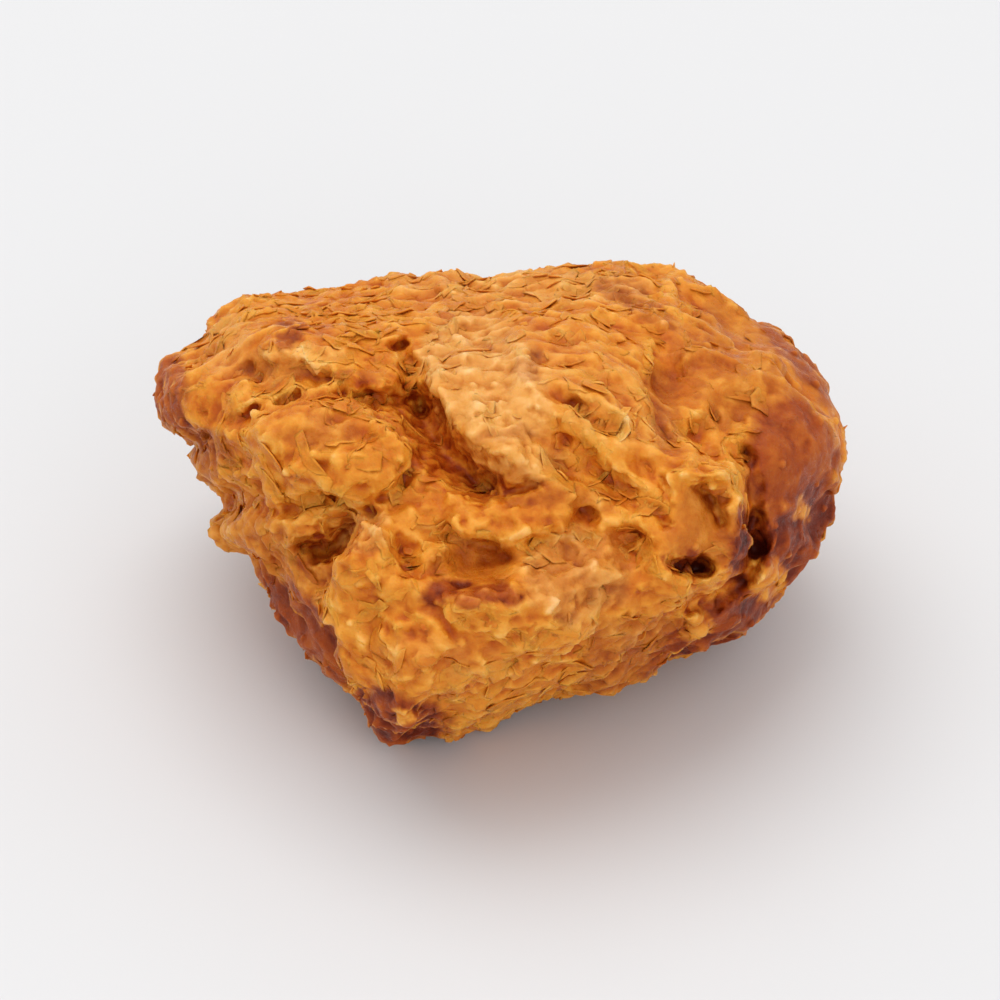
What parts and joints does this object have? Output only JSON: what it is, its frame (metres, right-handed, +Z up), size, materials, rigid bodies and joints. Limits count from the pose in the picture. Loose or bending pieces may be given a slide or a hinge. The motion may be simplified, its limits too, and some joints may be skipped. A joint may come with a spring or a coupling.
{
  "type": "boneless chicken wing",
  "caption": "Boneless chicken wing: a chunk of fried chicken in a thick, craggy golden crust, lying on its flattest side.",
  "frame": {"origin": "under the middle of the piece's box, on the surface that it lies on", "axes": "+X along its longest side, to the right in the picture; +Y away from the picture's eye; +Z up"},
  "size_m": [0.06, 0.0554, 0.0353],
  "materials": {
    "fried_crust": "satin"
  },
  "bodies": {
    "root": {"boneless_wing": "fried_crust"}
  },
  "joints": []
}
